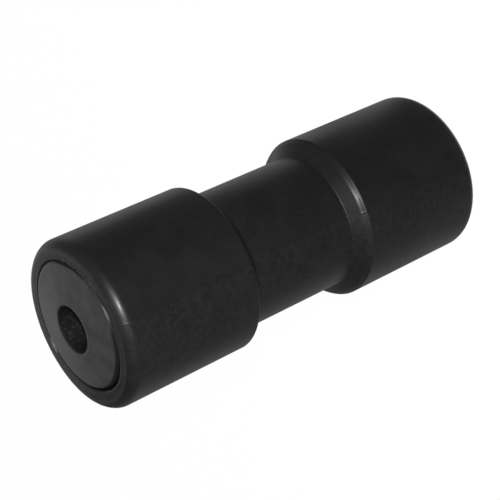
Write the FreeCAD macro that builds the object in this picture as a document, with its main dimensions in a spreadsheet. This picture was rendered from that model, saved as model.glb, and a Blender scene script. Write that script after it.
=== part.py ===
# Boat trailer roller: a soft rubber cover moulded over a hard core that turns on a spindle.
#
# Millimetres, +Z up. The roller stands on its end, with its axis on Z and the middle of the
# bottom end at the origin. The two ends are alike.

import FreeCAD, Part
import os
import Sketcher

# Driving sizes: name, value, meaning.
SIZES = [
    ("core_length", 200, "core from end to end, the roller's whole length"),
    ("spindle_diameter", 20, "spindle that the roller turns on"),
    ("bore_clearance", 0.5, "added to the spindle's diameter for the bore"),
    ("bore_chamfer", 0.4, "broken edge at each mouth of the bore"),
    ("thrust_land", 1.5, "width of the flat ring round each mouth, which rubs on the bracket"),
    ("crown_rise", 2, "how far the coned end stands proud of its own rim"),
    ("core_end_diameter", 58, "core at its ends, the disc that shows"),
    ("core_rim_break", 0.6, "broken edge of the disc's rim"),
    ("core_end_length", 12, "length of the core's full diameter at each end"),
    ("core_flare_length", 14, "length of the cone from there down to the tube"),
    ("core_tube_diameter", 40, "core between its ends, inside the rubber"),
    ("barrel_diameter", 75, "rubber barrels"),
    ("barrel_length", 66, "barrel, from the cover's end to the edge of its flank"),
    ("flank_length", 5.5, "axial length of the slope between barrel and waist"),
    ("waist_diameter", 62, "waist that the keel rests on"),
    ("end_fall", 0.6, "how far the cover's end face falls back from its lip to the barrel"),
    ("corner_radius", 4, "rounding between end face and barrel"),
    ("shoulder_radius", 2, "rounding between barrel and flank"),
    ("groove_width", 0.6, "ring gap between the disc's rim and the rubber lip"),
    ("groove_depth", 3, "depth of that gap"),
    ("lip_break", 0.3, "broken inner edge of the rubber lip"),
]

# Radii and heights worked out from the driving sizes.
PLACES = [
    ("bore_radius", "=(spindle_diameter + bore_clearance) / 2"),
    ("mouth_radius", "=bore_radius + bore_chamfer"),
    ("land_radius", "=bore_radius + thrust_land"),
    ("core_end_radius", "=core_end_diameter / 2"),
    ("core_face_radius", "=core_end_radius - core_rim_break"),
    ("core_tube_radius", "=core_tube_diameter / 2"),
    ("lip_radius", "=core_end_radius + groove_width"),
    ("lip_face_radius", "=lip_radius + lip_break"),
    ("barrel_radius", "=barrel_diameter / 2"),
    ("waist_radius", "=waist_diameter / 2"),
    ("low_mouth", "=bore_chamfer"),
    ("low_rim", "=crown_rise"),
    ("low_break", "=low_rim + core_rim_break"),
    ("low_end", "=low_rim + core_end_length"),
    ("low_tube", "=low_end + core_flare_length"),
    ("low_lip", "=low_rim + lip_break"),
    ("low_groove", "=low_rim + groove_depth"),
    ("low_barrel", "=low_rim + end_fall"),
    ("low_shoulder", "=low_rim + barrel_length"),
    ("low_foot", "=low_shoulder + flank_length"),
    ("high_mouth", "=core_length - low_mouth"),
    ("high_rim", "=core_length - low_rim"),
    ("high_break", "=core_length - low_break"),
    ("high_end", "=core_length - low_end"),
    ("high_tube", "=core_length - low_tube"),
    ("high_lip", "=core_length - low_lip"),
    ("high_groove", "=core_length - low_groove"),
    ("high_barrel", "=core_length - low_barrel"),
    ("high_shoulder", "=core_length - low_shoulder"),
    ("high_foot", "=core_length - low_foot"),
]

# Ends of a sketch line, as constraints name them. A lone point counts as a start.
START = 1
END = 2


def fill_sheet(document):
    """Put the driving sizes and the places worked out from them in one spreadsheet."""
    sheet = document.addObject("Spreadsheet::Sheet", "sizes")
    row = 1
    for alias, number, meaning in SIZES:
        sheet.set("A%d" % row, alias)
        sheet.set("B%d" % row, str(number))
        sheet.setAlias("B%d" % row, alias)
        sheet.set("C%d" % row, meaning)
        row += 1
    for alias, formula in PLACES:
        sheet.set("A%d" % row, alias)
        sheet.setAlias("B%d" % row, alias)
        sheet.set("B%d" % row, formula)
        row += 1
    document.recompute()
    return sheet


def origin_plane(body, role):
    for feature in body.Origin.OriginFeatures:
        if feature.Role == role:
            return feature


def draw_section(body, sheet, name, corners):
    """Closed sketch of a turned section on the body's XZ plane, bound to the sheet.

    A corner is (radius alias, height alias, rounding). Height None is the ground. The
    rounding is the alias of the radius of the arc that rounds the corner, or None for a
    sharp one. A rounded corner keeps a point where its two lines would meet, and its
    place is set from that point.
    """
    sketch = body.newObject("Sketcher::SketchObject", name)
    sketch.AttachmentSupport = (origin_plane(body, "XZ_Plane"), [""])
    sketch.MapMode = "FlatFace"
    points = []
    for radius, height, rounding in corners:
        up = getattr(sheet, height) if height else 0
        points.append(FreeCAD.Vector(getattr(sheet, radius), up, 0))
    for index, point in enumerate(points):
        sketch.addGeometry(Part.LineSegment(point, points[(index + 1) % len(points)]))
    before = len(corners) - 1
    for index in range(len(corners)):
        sketch.addConstraint(Sketcher.Constraint("Coincident", before, END, index, START))
        before = index
    places = []
    arcs = []
    for index, (radius, height, rounding) in enumerate(corners):
        if rounding:
            arc = sketch.GeometryCount
            sketch.fillet(index, START, getattr(sheet, rounding), True, True)
            places.append(arc + 1)
            arcs.append((arc, rounding))
        else:
            places.append(index)
    for index, (radius, height, rounding) in enumerate(corners):
        last_radius, last_height, last_rounding = corners[index - 1]
        if last_radius == radius and index > 0:
            sketch.addConstraint(Sketcher.Constraint("Vertical", index - 1))
        else:
            drive(sketch, sheet, radius, "DistanceX", -1, START, places[index], START)
        if last_height == height and index > 0:
            sketch.addConstraint(Sketcher.Constraint("Horizontal", index - 1))
        elif height is None:
            sketch.addConstraint(Sketcher.Constraint("PointOnObject", places[index], START, -1))
        else:
            drive(sketch, sheet, height, "DistanceY", -1, START, places[index], START)
    for arc, rounding in arcs:
        drive(sketch, sheet, rounding, "Radius", arc)
    return sketch


def drive(sketch, sheet, alias, kind, *where):
    """Add a constraint whose size the sheet drives."""
    number = sketch.addConstraint(Sketcher.Constraint(kind, *where, getattr(sheet, alias)))
    sketch.setExpression("Constraints[%d]" % number, "sizes." + alias)


def turn(body, sketch, name):
    """Turn a section a full circle round the axis."""
    solid = body.newObject("PartDesign::Revolution", name)
    solid.Profile = sketch
    solid.ReferenceAxis = (sketch, ["V_Axis"])
    solid.Angle = 360
    sketch.Visibility = False
    body.Document.recompute()


def make_hard_core(document, sheet):
    """Core: a bored spool whose coned ends show as discs at the ends of the roller."""
    body = document.addObject("PartDesign::Body", "hard_core")
    body.Label = "hard_core"
    corners = [
        ("mouth_radius", None, None),
        ("land_radius", None, None),
        ("core_face_radius", "low_rim", None),
        ("core_end_radius", "low_break", None),
        ("core_end_radius", "low_end", None),
        ("core_tube_radius", "low_tube", None),
        ("core_tube_radius", "high_tube", None),
        ("core_end_radius", "high_end", None),
        ("core_end_radius", "high_break", None),
        ("core_face_radius", "high_rim", None),
        ("land_radius", "core_length", None),
        ("mouth_radius", "core_length", None),
        ("bore_radius", "high_mouth", None),
        ("bore_radius", "low_mouth", None),
    ]
    turn(body, draw_section(body, sheet, "core_section", corners), "turned_core")
    return body


def make_rubber_cover(document, sheet):
    """Cover: both barrels, their flanks and the waist in one moulding round the core."""
    body = document.addObject("PartDesign::Body", "rubber_cover")
    body.Label = "rubber_cover"
    corners = [
        ("lip_radius", "low_lip", None),
        ("lip_face_radius", "low_rim", None),
        ("barrel_radius", "low_barrel", "corner_radius"),
        ("barrel_radius", "low_shoulder", "shoulder_radius"),
        ("waist_radius", "low_foot", None),
        ("waist_radius", "high_foot", None),
        ("barrel_radius", "high_shoulder", "shoulder_radius"),
        ("barrel_radius", "high_barrel", "corner_radius"),
        ("lip_face_radius", "high_rim", None),
        ("lip_radius", "high_lip", None),
        ("lip_radius", "high_groove", None),
        ("core_end_radius", "high_groove", None),
        ("core_end_radius", "high_end", None),
        ("core_tube_radius", "high_tube", None),
        ("core_tube_radius", "low_tube", None),
        ("core_end_radius", "low_end", None),
        ("core_end_radius", "low_groove", None),
        ("lip_radius", "low_groove", None),
    ]
    turn(body, draw_section(body, sheet, "cover_section", corners), "turned_cover")
    return body


def check(document, bodies):
    """Stop before anything is written if a feature failed or a shape isn't sound."""
    for item in document.Objects:
        if "Invalid" in item.State or "Error" in item.State:
            raise RuntimeError("%s failed: %s" % (item.Label, item.State))
    for body in bodies:
        if body.Shape.isNull() or not body.Shape.isValid() or len(body.Shape.Solids) != 1:
            raise RuntimeError("%s has no sound solid" % body.Label)


def main():
    document = FreeCAD.newDocument("boat_trailer_roller")
    sheet = fill_sheet(document)
    bodies = [make_hard_core(document, sheet), make_rubber_cover(document, sheet)]
    document.recompute()
    check(document, bodies)
    os.makedirs("parts", exist_ok=True)
    for body in bodies:
        body.Shape.exportStep("parts/%s.step" % body.Label)
        print(body.Label, "volume %.0f mm3" % body.Shape.Volume, body.Shape.BoundBox)


main()
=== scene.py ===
"""Boat trailer roller: a black rubber cover moulded over a grey hard core with a spindle bore.

The roller stands on its end, with its axis on Z. Sizes are metres and repeat the part's own,
apart from the roundings and the wear of the ends.
"""

import math

import bmesh
import bpy
from mathutils import Matrix, Vector, noise


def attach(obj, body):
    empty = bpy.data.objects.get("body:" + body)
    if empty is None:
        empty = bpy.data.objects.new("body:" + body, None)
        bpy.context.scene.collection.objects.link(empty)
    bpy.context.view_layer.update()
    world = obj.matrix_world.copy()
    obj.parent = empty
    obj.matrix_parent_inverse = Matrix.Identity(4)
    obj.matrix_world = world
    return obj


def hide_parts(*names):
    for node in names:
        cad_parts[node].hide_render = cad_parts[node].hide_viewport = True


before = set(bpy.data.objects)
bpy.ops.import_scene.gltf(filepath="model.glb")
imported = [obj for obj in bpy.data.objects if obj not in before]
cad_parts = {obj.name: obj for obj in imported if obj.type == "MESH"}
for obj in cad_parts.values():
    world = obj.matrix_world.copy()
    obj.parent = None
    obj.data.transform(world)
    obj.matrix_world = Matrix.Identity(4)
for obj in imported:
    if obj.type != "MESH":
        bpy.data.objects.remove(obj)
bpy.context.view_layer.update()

MM = 0.001

# Core.
CORE_LENGTH = 200 * MM
BORE_RADIUS = 10.25 * MM
MOUTH_RADIUS = 10.65 * MM
LAND_RADIUS = 11.75 * MM
LAND_ROUND = 0.5 * MM
CORE_RADIUS = 29 * MM
CORE_RIM_ROUND = 1.5 * MM
CORE_END_LENGTH = 12 * MM
CORE_FLARE_LENGTH = 14 * MM
CORE_TUBE_RADIUS = 20 * MM
CROWN_RISE = 2 * MM

# Cover.
BARREL_RADIUS = 37.5 * MM
BARREL_LENGTH = 66 * MM
FLANK_LENGTH = 5.5 * MM
WAIST_RADIUS = 31 * MM
END_FALL = 0.6 * MM
FOOT_ROUND = 0.05 * MM
LIP_ROUND = 0.9 * MM
LIP_GAP = 0.5 * MM
GROOVE_DEPTH = 3 * MM
FOOT_HEIGHT = CROWN_RISE + BARREL_LENGTH + FLANK_LENGTH

# Rounding between end face and barrel, as arcs: degrees turned from level at the start and the
# end of each, then its radius in millimetres.
UPPER_CORNER_ARCS = ((4.3, 38, 2.8), (38, 68, 6.5), (68, 90, 4.6))
LOWER_CORNER_ARCS = ((4.3, 90, 3.4),)

# The upper barrel's shoulder is a plain rounding. A slightly round bevel joins the lower flank to
# its barrel: where it ends on the barrel, the rounding there, and how far it has turned from the
# flank at its start and at its end.
SHOULDER_RADIUS = 1.2 * MM
SHOULDER_EDGE = 1.0 * MM
SHOULDER_EDGE_ROUND = 0.12 * MM
SHOULDER_START = math.radians(8)
SHOULDER_END = math.radians(22)
# A fine crease runs round this bevel: its place as a share of the turn, half width and depth.
CREASE_PLACE = 0.52
CREASE_HALF_WIDTH = 0.07
CREASE_DEPTH = 0.12 * MM

# Rim of the disc and edge of the rubber lip round the top end: degrees from -Y, then radii in
# millimetres, in the columns RIM and LIP. The disc sits a little off centre in its rubber.
RIM = 1
LIP = 2
ENDS_ROUND = (
    (-180, 28.1, 27.3),
    (-165, 27.7, 26.9),
    (-150, 27.5, 27.0),
    (-135, 27.45, 27.4),
    (-120, 27.4, 27.6),
    (-105, 27.4, 27.85),
    (-90, 27.6, 28.3),
    (-75, 28.0, 29.05),
    (-60, 28.3, 29.75),
    (-45, 28.5, 29.9),
    (-30, 28.7, 29.9),
    (-15, 29.1, 29.8),
    (0, 28.7, 28.4),
    (15, 28.8, 29.2),
    (28, 28.2, 29.3),
    (45, 28.8, 29.35),
    (60, 29.0, 29.4),
    (75, 29.3, 29.5),
    (90, 29.5, 29.5),
    (105, 29.55, 29.15),
    (120, 29.4, 28.6),
    (135, 29.15, 28.2),
    (150, 28.85, 27.9),
    (165, 28.5, 27.7),
    (180, 28.1, 27.3),
)
DISC_CENTRE = (1.55 * MM, -0.41 * MM, 0)
# The bottom end is the same, turned by this much.
BOTTOM_TURN = math.radians(140)
# Torn flash roughens the lip between these angles.
RAGGED_FROM = math.radians(15)
RAGGED_TO = math.radians(66)
RAGGED_BY = 1.5 * MM

# The mould's two halves met in a plane through the axis, this far round from -Y.
PARTING_ANGLE = math.radians(-10.5)
ACROSS_PARTING = Vector((math.cos(PARTING_ANGLE), math.sin(PARTING_ANGLE), 0))
SEAM_HALF_WIDTH = 0.2 * MM
SEAM_RISE = 0.1 * MM

# Pale spots and painted glints on the rubber: place and reach in millimetres, then how much narrower
# it is along each axis. Painted glints lie where the lip catches the light, specks of dust lie on
# barrel and waist, and a painted glint lies on the seam's flash.
LIP_PAINTED_GLINTS = (((0.3, -29.7, 198), 5, (1, 3, 2)), ((-2.5, 28.3, 198), 5, (1, 3, 2)))
LIP_FLECKS = ((11.5, -28.0, 198), 4.5, (1, 1.5, 1))
DUST = (((-3.3, -37.4, 149), 0.5), ((5.4, -30.6, 95.5), 0.5))
SEAM_PAINTED_GLINT = ((-5.6, -36.4, 195.6), 0.8)

# Faces round a full turn.
STEPS = 360


def mirrored(half):
    """The points of a section's lower half as the upper half, from the middle up."""
    return [(radius, CORE_LENGTH - height) for radius, height in reversed(half)]


def spun(section):
    """A closed section of (radius, height) points turned a full circle round the axis."""
    mesh = bmesh.new()
    outward = Vector((math.sin(PARTING_ANGLE), -math.cos(PARTING_ANGLE), 0))
    corners = [mesh.verts.new(outward * radius + Vector((0, 0, height))) for radius, height in section]
    edges = []
    for index, corner in enumerate(corners):
        edges.append(mesh.edges.new((corner, corners[(index + 1) % len(corners)])))
    bmesh.ops.spin(
        mesh,
        geom=corners + edges,
        cent=(0, 0, 0),
        axis=(0, 0, 1),
        angle=math.tau,
        steps=STEPS,
        use_merge=True,
    )
    bmesh.ops.remove_doubles(mesh, verts=mesh.verts, dist=0.002 * MM)
    bmesh.ops.recalc_face_normals(mesh, faces=mesh.faces)
    return mesh


def rings(mesh, radius, heights):
    """The round edges of one radius at the given heights."""
    found = []
    for edge in mesh.edges:
        ends = [(math.hypot(v.co.x, v.co.y), v.co.z) for v in edge.verts]
        for height in heights:
            if all(abs(r - radius) < 0.01 * MM and abs(z - height) < 0.01 * MM for r, z in ends):
                found.append(edge)
    return found


def round_rings(mesh, radius, height, offset, segments):
    """Round the ring edges of one radius at a height and at its mirror in the other half."""
    edges = rings(mesh, radius, (height, CORE_LENGTH - height))
    bmesh.ops.bevel(
        mesh,
        geom=edges,
        offset=offset,
        affect="EDGES",
        segments=segments,
        profile=0.5,
        material=-1,
        clamp_overlap=True,
    )


def run(first, last, parts):
    """Points that divide the straight stretch between two corners of a section."""
    steps = [index / parts for index in range(1, parts)]
    return [(first[0] + (last[0] - first[0]) * t, first[1] + (last[1] - first[1]) * t) for t in steps]


def smooth(value, low, high):
    """From 0 at low to 1 at high, easing in and out."""
    t = min(max((value - low) / (high - low), 0), 1)
    return t * t * (3 - 2 * t)


def corner_points(arcs):
    """Section points of the rounding between end face and barrel, from the barrel to the face.

    Heights are measured from where the rounding leaves the barrel.
    """
    radius = BARREL_RADIUS
    drop = 0
    points = [(radius, drop)]
    for start, end, bend in reversed(arcs):
        steps = max(2, round((end - start) / 9))
        for index in range(steps):
            before = math.radians(end - (end - start) * index / steps)
            after = math.radians(end - (end - start) * (index + 1) / steps)
            radius -= bend * MM * (math.sin(before) - math.sin(after))
            drop += bend * MM * (math.cos(after) - math.cos(before))
            points.append((radius, drop))
    return points


def round_end(angle, column):
    """A radius of the top end at an angle from -Y, from one column of the table."""
    degrees = math.degrees(angle)
    for before, after in zip(ENDS_ROUND, ENDS_ROUND[1:]):
        if before[0] <= degrees <= after[0]:
            share = smooth(degrees, before[0], after[0])
            return (before[column] + (after[column] - before[column]) * share) * MM
    return ENDS_ROUND[0][column] * MM


def torn(angle):
    """How ragged the lip is at an angle."""
    edge = math.radians(6)
    return smooth(angle, RAGGED_FROM - edge, RAGGED_FROM) * smooth(angle, RAGGED_TO + edge, RAGGED_TO)


def rim_radius(angle):
    """Radius of the disc's rim at an angle."""
    return round_end(angle, RIM)


def lip_radius(angle):
    """Radius of the rubber lip's edge at an angle, torn in places."""
    ragged = noise.noise(Vector((angle * 26, 0, 1))) + 0.6 * noise.noise(Vector((angle * 70, 5, 1)))
    return round_end(angle, LIP) + torn(angle) * RAGGED_BY * ragged


def groove_radius(angle):
    """Inner radius of the gap's floor in the rubber at an angle."""
    return min(rim_radius(angle), lip_radius(angle) - 0.1 * MM)


def shape_ends(mesh, nominal, uneven, inner, outer, deep):
    """Push a ring of both ends from its nominal radius to an uneven one.

    The push fades out from the ring to an inner and an outer radius, and below a depth.
    """
    middle = CORE_LENGTH / 2
    for corner in mesh.verts:
        radius = math.hypot(corner.co.x, corner.co.y)
        depth = middle - CROWN_RISE - abs(corner.co.z - middle)
        share = smooth(radius, inner, nominal) * smooth(radius, outer, nominal + 0.01 * MM)
        share *= smooth(depth, deep, GROOVE_DEPTH)
        if not share:
            continue
        turn = 0 if corner.co.z > middle else BOTTOM_TURN
        outward = Vector((corner.co.x, corner.co.y, 0)) / radius
        angle = math.remainder(math.atan2(outward.x, -outward.y) + turn, math.tau)
        corner.co += outward * (uneven(angle) - nominal) * share


def raise_seams(mesh, inside):
    """Thin lines of flash where the mould's halves met, on both sides of the cover."""
    for side in (-SEAM_HALF_WIDTH, SEAM_HALF_WIDTH):
        bmesh.ops.bisect_plane(
            mesh,
            geom=mesh.verts[:] + mesh.edges[:] + mesh.faces[:],
            dist=0.001 * MM,
            plane_co=ACROSS_PARTING * side,
            plane_no=ACROSS_PARTING,
        )
    mesh.normal_update()
    ridge = []
    for corner in mesh.verts:
        if abs(corner.co.dot(ACROSS_PARTING)) < 0.02 * MM and math.hypot(corner.co.x, corner.co.y) > inside:
            rise = SEAM_RISE * (0.7 + 0.8 * noise.noise(corner.co * 350))
            ridge.append((corner, corner.normal * max(rise, 0)))
    for corner, step in ridge:
        corner.co += step


def piece(mesh, name, node, material):
    """A finished mesh as a piece that stands for one node of the frame."""
    data = bpy.data.meshes.new(name)
    mesh.to_mesh(data)
    mesh.free()
    data.materials.append(material)
    for face in data.polygons:
        face.use_smooth = True
    thing = bpy.data.objects.new(name, data)
    bpy.context.scene.collection.objects.link(thing)
    weighted = thing.modifiers.new("even_shading", "WEIGHTED_NORMAL")
    weighted.weight = 60
    weighted.keep_sharp = True
    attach(thing, "root")
    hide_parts(node)
    return thing


# Materials.


class Nodes:
    """Short names for the nodes of one material or world."""

    def __init__(self, owner):
        self.owner = owner
        owner.use_nodes = True
        self.tree = owner.node_tree
        self.tree.nodes.clear()

    def add(self, kind, **settings):
        node = self.tree.nodes.new(kind)
        for key, value in settings.items():
            setattr(node, key, value)
        return node

    def link(self, source, target):
        self.tree.links.new(source, target)

    def math(self, operation, first, second=None, third=None):
        node = self.add("ShaderNodeMath", operation=operation)
        for index, value in enumerate((first, second, third)):
            if value is None:
                continue
            if isinstance(value, (int, float)):
                node.inputs[index].default_value = value
            else:
                self.link(value, node.inputs[index])
        return node.outputs[0]

    def noise(self, place, scale, detail=2.0, roughness=0.5):
        node = self.add("ShaderNodeTexNoise")
        node.inputs["Scale"].default_value = scale
        node.inputs["Detail"].default_value = detail
        node.inputs["Roughness"].default_value = roughness
        self.link(place, node.inputs["Vector"])
        return node.outputs["Fac"]

    def split(self, place):
        """A place's own three numbers."""
        node = self.add("ShaderNodeSeparateXYZ")
        self.link(place, node.inputs[0])
        return node.outputs

    def radius(self, x, y):
        """Distance from the roller's axis."""
        return self.math("SQRT", self.math("MULTIPLY_ADD", x, x, self.math("POWER", y, 2.0)))

    def near(self, place, centre, reach, squeeze=(1, 1, 1)):
        """From 1 at a point to 0 at a reach from it, in millimetres. The squeeze makes it narrower."""
        step = self.add("ShaderNodeVectorMath", operation="SUBTRACT")
        self.link(place, step.inputs[0])
        step.inputs[1].default_value = [value * MM for value in centre]
        scaled = self.add("ShaderNodeVectorMath", operation="MULTIPLY")
        self.link(step.outputs[0], scaled.inputs[0])
        scaled.inputs[1].default_value = squeeze
        length = self.add("ShaderNodeVectorMath", operation="LENGTH")
        self.link(scaled.outputs[0], length.inputs[0])
        return self.between(length.outputs["Value"], reach * MM, 0.3 * reach * MM)

    def between(self, value, low, high, to_low=0.0, to_high=1.0):
        """Eased from one number where the value is low to another where it is high."""
        node = self.add("ShaderNodeMapRange")
        node.interpolation_type = "SMOOTHSTEP"
        self.link(value, node.inputs["Value"])
        node.inputs["From Min"].default_value = low
        node.inputs["From Max"].default_value = high
        node.inputs["To Min"].default_value = to_low
        node.inputs["To Max"].default_value = to_high
        return node.outputs["Result"]

    def blend(self, factor, first, second):
        node = self.add("ShaderNodeMix", data_type="RGBA")
        self.link(factor, node.inputs[0])
        for socket, color in ((node.inputs[6], first), (node.inputs[7], second)):
            if isinstance(color, tuple):
                socket.default_value = (*color, 1)
            else:
                self.link(color, socket)
        return node.outputs[2]

    def bump(self, height, strength, distance, normal=None):
        node = self.add("ShaderNodeBump")
        node.inputs["Strength"].default_value = strength
        node.inputs["Distance"].default_value = distance
        self.link(height, node.inputs["Height"])
        if normal:
            self.link(normal, node.inputs["Normal"])
        return node.outputs["Normal"]

    def surface(self, color, roughness, normal, coat=None, shine=None):
        shader = self.add("ShaderNodeBsdfPrincipled")
        shader.inputs["IOR"].default_value = 1.5
        self.link(color, shader.inputs["Base Color"])
        self.link(roughness, shader.inputs["Roughness"])
        self.link(normal, shader.inputs["Normal"])
        if coat:
            shader.inputs["Coat Roughness"].default_value = 0.25
            self.link(coat, shader.inputs["Coat Weight"])
            self.link(normal, shader.inputs["Coat Normal"])
        if shine:
            self.link(shine, shader.inputs["Specular IOR Level"])
        out = self.add("ShaderNodeOutputMaterial")
        self.link(shader.outputs[0], out.inputs["Surface"])
        return self.owner


def make_rubber():
    """Black moulded rubber: one mould half left it glossier than the other."""
    n = Nodes(bpy.data.materials.new("moulded_rubber"))
    place = n.add("ShaderNodeTexCoord").outputs["Object"]
    x, y, z = n.split(place)
    from_middle = n.math("ABSOLUTE", n.math("SUBTRACT", z, CORE_LENGTH / 2))
    below_face = n.math("SUBTRACT", CORE_LENGTH / 2 - CROWN_RISE, from_middle)

    # The glossier half lies on one side of the parting plane and leaves out the end faces.
    across = n.add("ShaderNodeVectorMath", operation="DOT_PRODUCT")
    n.link(place, across.inputs[0])
    across.inputs[1].default_value = ACROSS_PARTING
    polished = n.between(across.outputs["Value"], -0.6 * MM, 0.6 * MM)
    polished = n.math("MULTIPLY", polished, n.between(below_face, 0.8 * MM, 2.5 * MM))
    dull = n.math("SUBTRACT", 1.0, polished)

    # Pale bloom, in patches and in fine spots.
    blotches = n.noise(place, 90, 3.0, 0.55)
    cloud = n.noise(place, 28, 2.0, 0.5)
    mottle = n.noise(place, 380, 4.0, 0.65)
    grain = n.noise(place, 1100, 2.0, 0.6)
    patches = n.math("ADD", n.math("MULTIPLY", blotches, 0.5), n.math("MULTIPLY", cloud, 0.5))
    spots = n.math("MULTIPLY", n.between(mottle, 0.40, 0.60), 0.6)
    spots = n.math("MULTIPLY_ADD", n.between(grain, 0.38, 0.62), 0.4, spots)
    spots = n.math("MULTIPLY", spots, n.math("MULTIPLY_ADD", polished, -0.5, 1.0))
    bloom = n.math("MULTIPLY_ADD", n.between(patches, 0.38, 0.64), 0.4, n.math("MULTIPLY", spots, 0.6))
    color = n.blend(bloom, (0.0075, 0.0075, 0.0077), (0.0195, 0.0194, 0.0192))

    # Painted glints on the lip and the seam, flecks and dust.
    marks_and_glints = n.math("MAXIMUM", *[n.near(place, *painted_glint) for painted_glint in LIP_PAINTED_GLINTS])
    marks_and_glints = n.math("MULTIPLY", marks_and_glints, n.between(n.noise(place, 700, 2.0, 0.6), 0.36, 0.52))
    flecks = n.between(n.noise(place, 1500, 2.0, 0.6), 0.50, 0.62, 0.0, 0.45)
    flecks = n.math("MULTIPLY", n.near(place, *LIP_FLECKS), flecks)
    marks_and_glints = n.math("MAXIMUM", marks_and_glints, flecks)
    dust = n.math("MAXIMUM", *[n.near(place, *speck) for speck in DUST])
    marks_and_glints = n.math("MULTIPLY_ADD", dust, 0.08, marks_and_glints)
    # The seam's speck is a painted glint where its flash catches the light.
    marks_and_glints = n.math("MULTIPLY_ADD", n.near(place, *SEAM_PAINTED_GLINT), 0.2, marks_and_glints)
    color = n.blend(marks_and_glints, color, (0.30, 0.30, 0.30))

    rough = n.math("MULTIPLY_ADD", polished, -0.08, 0.49)
    rough = n.math("MULTIPLY_ADD", bloom, 0.05, rough)
    relief = n.math("MULTIPLY", mottle, n.math("MULTIPLY_ADD", polished, -0.7, 1.0))
    normal = n.bump(grain, 0.25, 0.05 * MM)
    normal = n.bump(relief, 0.2, 0.15 * MM, normal)
    normal = n.bump(blotches, 0.12, 0.4 * MM, normal)
    coat = n.math("MULTIPLY", polished, 0.24)

    # The shine is mottled on the dull half, and weaker on the -X side of the end faces. Just above the
    # upper foot it is weaker as painted shade in the crease.
    shine = n.math("MULTIPLY", n.math("SUBTRACT", spots, 0.5), dull)
    shine = n.math("MULTIPLY_ADD", shine, 0.09, 0.5)
    side = n.math("MULTIPLY", n.between(below_face, 0.9 * MM, 0.4 * MM), n.between(x, -23 * MM, -29 * MM))
    shine = n.math("MULTIPLY_ADD", side, -0.16, shine)
    # Painted shade: the shine drops on the waist just above the upper foot, where the flank shades it.
    above_foot = n.math("SUBTRACT", z, CORE_LENGTH - FOOT_HEIGHT)
    low_down = n.between(n.radius(x, y), WAIST_RADIUS + 2 * MM, WAIST_RADIUS + 1 * MM)
    painted_foot_shade = n.math("MULTIPLY", n.between(above_foot, -1.3 * MM, -0.3 * MM), low_down)
    shine = n.math("MULTIPLY_ADD", painted_foot_shade, -0.16, shine)
    return n.surface(color, rough, normal, coat, shine)


def make_core_plastic():
    """Dark grey hard plastic, matt, with faint clouds. The bore is rough, darker and specked, and the gap
    at the rim is darkened as painted shade.
    """
    n = Nodes(bpy.data.materials.new("hard_plastic"))
    place = n.add("ShaderNodeTexCoord").outputs["Object"]
    x, y = n.split(place)[:2]
    radius = n.radius(x, y)
    cloud = n.noise(place, 130, 4.0, 0.65)
    color = n.blend(n.between(cloud, 0.36, 0.64), (0.034, 0.034, 0.035), (0.060, 0.060, 0.061))

    # Darker in the bore, with paler specks.
    specks = n.between(n.noise(place, 750, 3.0, 0.6), 0.52, 0.68)
    bore_color = n.blend(specks, (0.015, 0.015, 0.015), (0.045, 0.045, 0.045))
    in_bore = n.between(radius, MOUTH_RADIUS + 0.1 * MM, MOUTH_RADIUS + 0.4 * MM, 1.0, 0.0)
    color = n.blend(in_bore, color, bore_color)

    # Painted shade in the gap: darker along the rim on the -X side, and on the wall below it on the other.
    flat = n.add("ShaderNodeCombineXYZ")
    n.link(x, flat.inputs["X"])
    n.link(y, flat.inputs["Y"])
    off_centre = n.add("ShaderNodeVectorMath", operation="DISTANCE")
    n.link(flat.outputs[0], off_centre.inputs[0])
    off_centre.inputs[1].default_value = DISC_CENTRE
    rim = n.between(off_centre.outputs["Value"], 27.4 * MM, 28.6 * MM)
    rim = n.math("MULTIPLY", rim, n.between(x, -2 * MM, -8 * MM))
    wall = n.math("MULTIPLY", n.between(radius, 27.9 * MM, 28.6 * MM), n.between(x, 8 * MM, 12 * MM))
    wall = n.math("MULTIPLY", wall, n.between(y, -3 * MM, -9 * MM))
    painted_gap_shade = n.math("MAXIMUM", rim, wall)
    color = n.blend(painted_gap_shade, color, (0.015, 0.015, 0.015))

    rough = n.math("MULTIPLY_ADD", cloud, 0.15, 0.45)
    normal = n.bump(n.noise(place, 700, 2.0, 0.5), 0.15, 0.05 * MM)
    shine = n.math("MULTIPLY_ADD", n.math("MAXIMUM", painted_gap_shade, in_bore), -0.3, 0.5)
    return n.surface(color, rough, normal, shine=shine)


# Pieces.


def make_core():
    """Bored spool with coned ends, which show as discs."""
    low = CROWN_RISE
    cone_radii = (
        LAND_RADIUS,
        LAND_RADIUS + 1.5 * MM,
        CORE_RADIUS - 5 * MM,
        CORE_RADIUS - 3.5 * MM,
        CORE_RADIUS - 2 * MM,
        CORE_RADIUS,
    )
    half = [
        (BORE_RADIUS, 60 * MM),
        (BORE_RADIUS, MOUTH_RADIUS - BORE_RADIUS),
        (MOUTH_RADIUS, 0),
        *[(radius, low * (radius - LAND_RADIUS) / (CORE_RADIUS - LAND_RADIUS)) for radius in cone_radii],
        (CORE_RADIUS, low + GROOVE_DEPTH),
        (CORE_RADIUS, low + CORE_END_LENGTH),
        (CORE_TUBE_RADIUS, low + CORE_END_LENGTH + CORE_FLARE_LENGTH),
    ]
    mesh = spun(half + mirrored(half))
    round_rings(mesh, CORE_RADIUS, low, CORE_RIM_ROUND, 4)
    round_rings(mesh, LAND_RADIUS, 0, LAND_ROUND, 2)
    shape_ends(mesh, CORE_RADIUS, rim_radius, CORE_RADIUS - 5 * MM, CORE_RADIUS + 1 * MM, CORE_END_LENGTH)
    return piece(mesh, "core", "hard_core", make_core_plastic())


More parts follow.
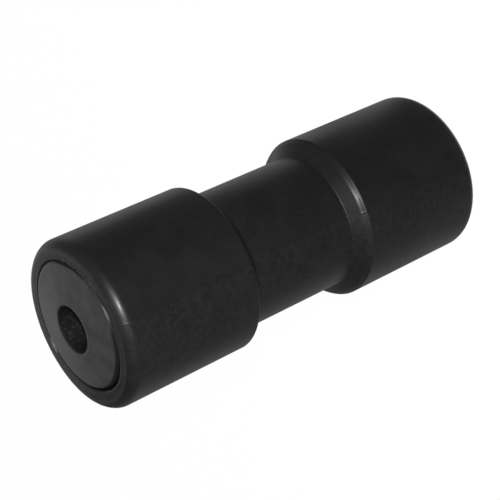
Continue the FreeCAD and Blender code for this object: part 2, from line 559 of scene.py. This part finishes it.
def make_cover():
    """Both barrels, their flanks and the waist, moulded round the core."""
    low = CROWN_RISE
    lip = CORE_RADIUS + LIP_GAP
    shoulder = low + BARREL_LENGTH
    foot = FOOT_HEIGHT
    slope_length = math.hypot(BARREL_RADIUS - WAIST_RADIUS, FLANK_LENGTH)
    inward = (BARREL_RADIUS - WAIST_RADIUS) / slope_length
    upward = FLANK_LENGTH / slope_length

    def on_flank(distance, depth=0.0):
        """A point of the flank, measured down the slope from its shoulder."""
        radius = BARREL_RADIUS - inward * distance - upward * depth
        return (radius, shoulder + upward * distance - inward * depth)

    bevel_arc = inward * SHOULDER_EDGE / (math.cos(SHOULDER_START) - math.cos(SHOULDER_END))
    reach = bevel_arc * (math.sin(SHOULDER_END) - math.sin(SHOULDER_START)) - upward * SHOULDER_EDGE

    def on_bevel(share, depth=0.0):
        """A point of the bevel between flank and barrel, by its share of the bevel's turn."""
        turn = SHOULDER_START + (SHOULDER_END - SHOULDER_START) * share
        advance = bevel_arc * (math.sin(turn) - math.sin(SHOULDER_START))
        return on_flank(reach - advance, depth + bevel_arc * (math.cos(SHOULDER_START) - math.cos(turn)))

    barrel_high = (BARREL_RADIUS, shoulder - 2.5 * MM)
    waist_low = (WAIST_RADIUS, foot + 1.5 * MM)
    waist_middle = (WAIST_RADIUS, CORE_LENGTH / 2)
    bevel = [
        (BARREL_RADIUS, shoulder - SHOULDER_EDGE),
        *[on_bevel(share) for share in (0.9, 0.8, 0.7)],
        on_bevel(CREASE_PLACE + CREASE_HALF_WIDTH),
        on_bevel(CREASE_PLACE, CREASE_DEPTH),
        on_bevel(CREASE_PLACE - CREASE_HALF_WIDTH),
        *[on_bevel(share) for share in (0.36, 0.24, 0.12, 0)],
        on_flank(reach + 0.25 * MM),
    ]
    slope = math.atan2(BARREL_RADIUS - WAIST_RADIUS, FLANK_LENGTH)
    start = shoulder - SHOULDER_RADIUS * math.tan(slope / 2)
    rounding = []
    for index in range(7):
        turn = slope * index / 6
        radius = BARREL_RADIUS - SHOULDER_RADIUS * (1 - math.cos(turn))
        rounding.append((radius, start + SHOULDER_RADIUS * math.sin(turn)))

    def half_section(arcs, shoulder_points):
        """The cover's lower half, with the given arcs at its end and points at its shoulder."""
        corner = corner_points(arcs)
        face_radius, face_drop = corner[-1]
        fall = END_FALL * (face_radius - lip) / (BARREL_RADIUS - lip)
        corner = [(radius, low + fall + face_drop - drop) for radius, drop in reversed(corner)]
        barrel_low = (BARREL_RADIUS, corner[-1][1] + 1 * MM)
        return [
            (CORE_TUBE_RADIUS, low + CORE_END_LENGTH + CORE_FLARE_LENGTH),
            (CORE_RADIUS, low + CORE_END_LENGTH),
            (CORE_RADIUS, low + GROOVE_DEPTH),
            (lip, low + GROOVE_DEPTH),
            (lip, low + 1 * MM),
            (lip, low),
            (lip + 1 * MM, low + END_FALL / 8),
            (face_radius - 0.6 * MM, low + fall - 0.045 * MM),
            *corner,
            barrel_low,
            *run(barrel_low, barrel_high, 14),
            barrel_high,
            *shoulder_points,
            on_flank(slope_length / 2),
            on_flank(slope_length - 0.8 * MM),
            (WAIST_RADIUS, foot),
            waist_low,
            *run(waist_low, waist_middle, 6),
        ]

    lower = half_section(LOWER_CORNER_ARCS, bevel)
    upper = mirrored(half_section(UPPER_CORNER_ARCS, rounding))
    mesh = spun(lower + upper)
    round_rings(mesh, BARREL_RADIUS, shoulder - SHOULDER_EDGE, SHOULDER_EDGE_ROUND, 3)
    round_rings(mesh, WAIST_RADIUS, foot, FOOT_ROUND, 2)
    round_rings(mesh, lip, low, LIP_ROUND, 3)
    groove = (CORE_RADIUS - 5 * MM, CORE_RADIUS + 0.3 * MM)
    shape_ends(mesh, CORE_RADIUS, groove_radius, *groove, CORE_END_LENGTH)
    shape_ends(mesh, lip, lip_radius, CORE_RADIUS + 0.1 * MM, lip + 5 * MM, CORE_END_LENGTH)
    raise_seams(mesh, lip + 1 * MM)
    return piece(mesh, "cover", "rubber_cover", make_rubber())


# Setting.

# What the camera sees of the floor: a little under white, so that the roller's shadow shows.
FLOOR_WHITE = 0.98


def make_floor():
    """White for the camera. Other rays meet the dim glow of a studio."""
    mesh = bmesh.new()
    bmesh.ops.create_grid(mesh, x_segments=1, y_segments=1, size=4)
    data = bpy.data.meshes.new("floor")
    mesh.to_mesh(data)
    mesh.free()
    floor = bpy.data.objects.new("floor", data)
    bpy.context.scene.collection.objects.link(floor)
    data.materials.append(make_floor_glow())


def make_floor_glow():
    """Glow by distance and direction from the roller's foot. Right and behind are sines of the angle."""
    n = Nodes(bpy.data.materials.new("white_floor"))
    place = n.add("ShaderNodeTexCoord").outputs["Object"]
    outward = n.add("ShaderNodeVectorMath", operation="NORMALIZE")
    n.link(place, outward.inputs[0])
    right, behind = n.split(outward.outputs["Vector"])[:2]
    length = n.add("ShaderNodeVectorMath", operation="LENGTH")
    n.link(place, length.inputs[0])
    away = length.outputs["Value"]

    # Far floor: bright behind to both sides, faint elsewhere.
    sides = n.math("MULTIPLY", n.between(behind, -0.05, 0.35), n.between(behind, 0.97, 0.82))
    sides = n.math("MULTIPLY", sides, n.between(right, -0.2, 0.6, 0.82, 0.75))
    fade = n.math("MULTIPLY", n.between(away, 150 * MM, 250 * MM), n.between(behind, 0.65, 0.3))
    sides = n.math("MULTIPLY", sides, n.math("SUBTRACT", 1.0, fade))
    far = n.math("MULTIPLY_ADD", sides, 0.43, n.between(right, -0.9, 0.1, 0.19, 0.08))

    # Near floor: dim in front, and a bright ring right at the foot.
    front = n.math("MULTIPLY", n.between(behind, 0.1, -0.5), n.between(right, -0.8, -0.1, 0.42, 0.78))
    near = n.math("MULTIPLY", n.between(behind, 1.0, 0.25, 0.0, 0.46), n.math("SUBTRACT", 1.0, front))
    near = n.math("MULTIPLY", near, n.between(right, -0.7, 0.7, 1.0, 0.75))
    glow = n.blend(n.between(away, 75 * MM, 105 * MM), near, far)
    glow = n.math("MULTIPLY_ADD", n.between(away, 42.2 * MM, 37 * MM), 0.8, glow)

    paper = n.add("ShaderNodeBsdfDiffuse")
    paper.inputs["Color"].default_value = (0.05, 0.05, 0.05, 1)
    shine = n.add("ShaderNodeEmission")
    n.link(add_camera_white(n, glow, FLOOR_WHITE), shine.inputs["Strength"])
    both = n.add("ShaderNodeAddShader")
    n.link(paper.outputs[0], both.inputs[0])
    n.link(shine.outputs[0], both.inputs[1])
    out = n.add("ShaderNodeOutputMaterial")
    n.link(both.outputs[0], out.inputs["Surface"])
    return n.owner


def add_camera_white(n, level, white):
    """A level for all rays but the camera's, which meet white."""
    seen = n.add("ShaderNodeLightPath").outputs["Is Camera Ray"]
    rest = n.math("MULTIPLY", level, n.math("SUBTRACT", 1.0, seen))
    return n.math("MULTIPLY_ADD", seen, white, rest)


def light_world():
    """White for the camera. The object meets a dim room with a bright low backdrop and a light above."""
    world = bpy.data.worlds.new("studio")
    bpy.context.scene.world = world
    n = Nodes(world)
    x, y, z = n.split(n.add("ShaderNodeTexCoord").outputs["Generated"])
    backdrop = n.math("MULTIPLY", n.between(y, 0.75, 0.95), n.between(z, 0.42, 0.22))
    backdrop = n.math("MULTIPLY", backdrop, n.between(x, -0.3, 0.12, 0.12, 1.45))
    above = n.math("MULTIPLY", n.between(z, 0.66, 0.80), n.between(y, 0.08, 0.45))
    above = n.math("MULTIPLY", above, n.between(x, -0.35, 0.3, 0.1, 1.6))
    front = n.math("MULTIPLY", n.between(y, 0.1, -0.4), n.between(x, 0.3, -0.6, 0.0, 0.25))
    dim_corner = n.math("MULTIPLY", n.between(y, 0.55, 0.8), n.between(x, 0.05, -0.2))
    room = n.math("MULTIPLY_ADD", dim_corner, -0.08, n.between(z, 0.45, 0.7, 0.14, 0.07))
    level = n.math("ADD", n.math("ADD", n.math("ADD", backdrop, room), above), front)
    background = n.add("ShaderNodeBackground")
    background.inputs["Color"].default_value = (1, 1, 1, 1)
    n.link(add_camera_white(n, level, 1.0), background.inputs["Strength"])
    out = n.add("ShaderNodeOutputWorld")
    n.link(background.outputs[0], out.inputs["Surface"])


# The flash stands just right of the camera.
FLASH_PLACE = (0.03, -0.56, 0.44)
FLASH_AIM = (0, 0, 0.12)
FLASH_SIZE = 0.03
FLASH_POWER = 2.4


def add_lamp(name, place, aim, size, power):
    """A round lamp that faces a point."""
    data = bpy.data.lights.new(name, "AREA")
    data.shape = "DISK"
    data.size = size
    data.energy = power
    lamp = bpy.data.objects.new(name, data)
    bpy.context.scene.collection.objects.link(lamp)
    lamp.location = place
    lamp.rotation_euler = (Vector(aim) - Vector(place)).to_track_quat("-Z", "Y").to_euler()


# The camera looks level with +Y, down by its pitch, and is rolled so that the roller leans.
CAMERA_PLACE = (-0.00072, -0.56392, 0.45850)
CAMERA_PITCH = math.radians(31.964)
CAMERA_ROLL = math.radians(-(90 + 24.791))
CAMERA_LENS = 108.82


def add_camera():
    data = bpy.data.cameras.new("camera")
    data.lens = CAMERA_LENS
    data.sensor_width = 36
    data.clip_start = 0.01
    camera = bpy.data.objects.new("camera", data)
    bpy.context.scene.collection.objects.link(camera)
    turn = Matrix.Rotation(math.pi / 2 - CAMERA_PITCH, 4, "X") @ Matrix.Rotation(CAMERA_ROLL, 4, "Z")
    camera.matrix_world = Matrix.Translation(CAMERA_PLACE) @ turn
    bpy.context.scene.camera = camera


make_core()
make_cover()
make_floor()
light_world()
add_camera()
add_lamp("flash", FLASH_PLACE, FLASH_AIM, FLASH_SIZE, FLASH_POWER)

bpy.context.scene.view_settings.view_transform = "Standard"
